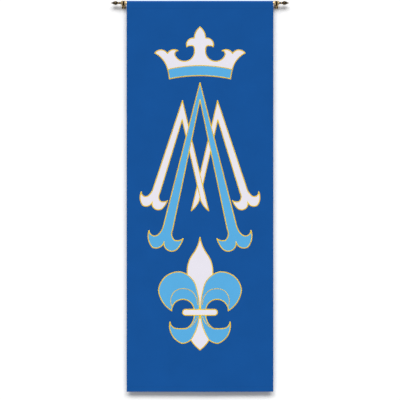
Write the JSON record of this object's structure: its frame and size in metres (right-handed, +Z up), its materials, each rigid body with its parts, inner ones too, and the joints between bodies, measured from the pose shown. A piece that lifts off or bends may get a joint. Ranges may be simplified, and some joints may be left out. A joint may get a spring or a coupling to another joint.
{
  "type": "church banner on a wall rod with brackets",
  "caption": "Upright church banner: a flat blue cloth panel with gold-edged applied motifs, hung by its top sleeve on a brass wall rod with spear finials and brackets.",
  "frame": {"origin": "on the wall, midway between the two brackets, at the height of the rod's axis", "axes": "+Z up, the front of the banner faces -Y, +Y goes into the wall, and +X is to the right seen from the front"},
  "size_m": [1.116, 0.0453, 2.4401],
  "materials": {
    "royal_blue_cloth": "matt plain-weave cloth, faintly uneven in tone",
    "white_cloth": "matt fine plain-weave applied cloth",
    "light_blue_cloth": "matt fine plain-weave applied cloth",
    "gold_thread": "close satin stitch in gold thread with a soft sheen",
    "aged_brass": "antiqued brass, brown in the recesses and rubbed bright on the raised edges"
  },
  "bodies": {
    "root": {"banner_panel": "royal_blue_cloth", "crown_body": "white_cloth", "crown_band": "light_blue_cloth", "crown_edging": "gold_thread", "lancet_blue": "light_blue_cloth", "lancet_white_left_1": "white_cloth", "lancet_white_left_2": "white_cloth", "lancet_white_right_1": "white_cloth", "lancet_white_right_2": "white_cloth", "lancet_white_right_3": "white_cloth", "lancet_edging": "gold_thread", "fleur_top_petal": "white_cloth", "fleur_bottom_petal": "white_cloth", "fleur_bar": "white_cloth", "fleur_petal_left": "light_blue_cloth", "fleur_petal_right": "light_blue_cloth", "fleur_leaf_left": "light_blue_cloth", "fleur_leaf_right": "light_blue_cloth", "fleur_edging": "gold_thread", "fleur_petal_rib_left": "gold_thread", "fleur_petal_rib_right": "gold_thread", "fleur_leaf_rib_left": "gold_thread", "fleur_leaf_rib_right": "gold_thread", "rod": "aged_brass", "finial_left": "aged_brass", "finial_right": "aged_brass", "bracket_left": "aged_brass", "bracket_right": "aged_brass", "screw_left_1": "aged_brass", "screw_left_2": "aged_brass", "screw_right_1": "aged_brass", "screw_right_2": "aged_brass"}
  },
  "joints": []
}
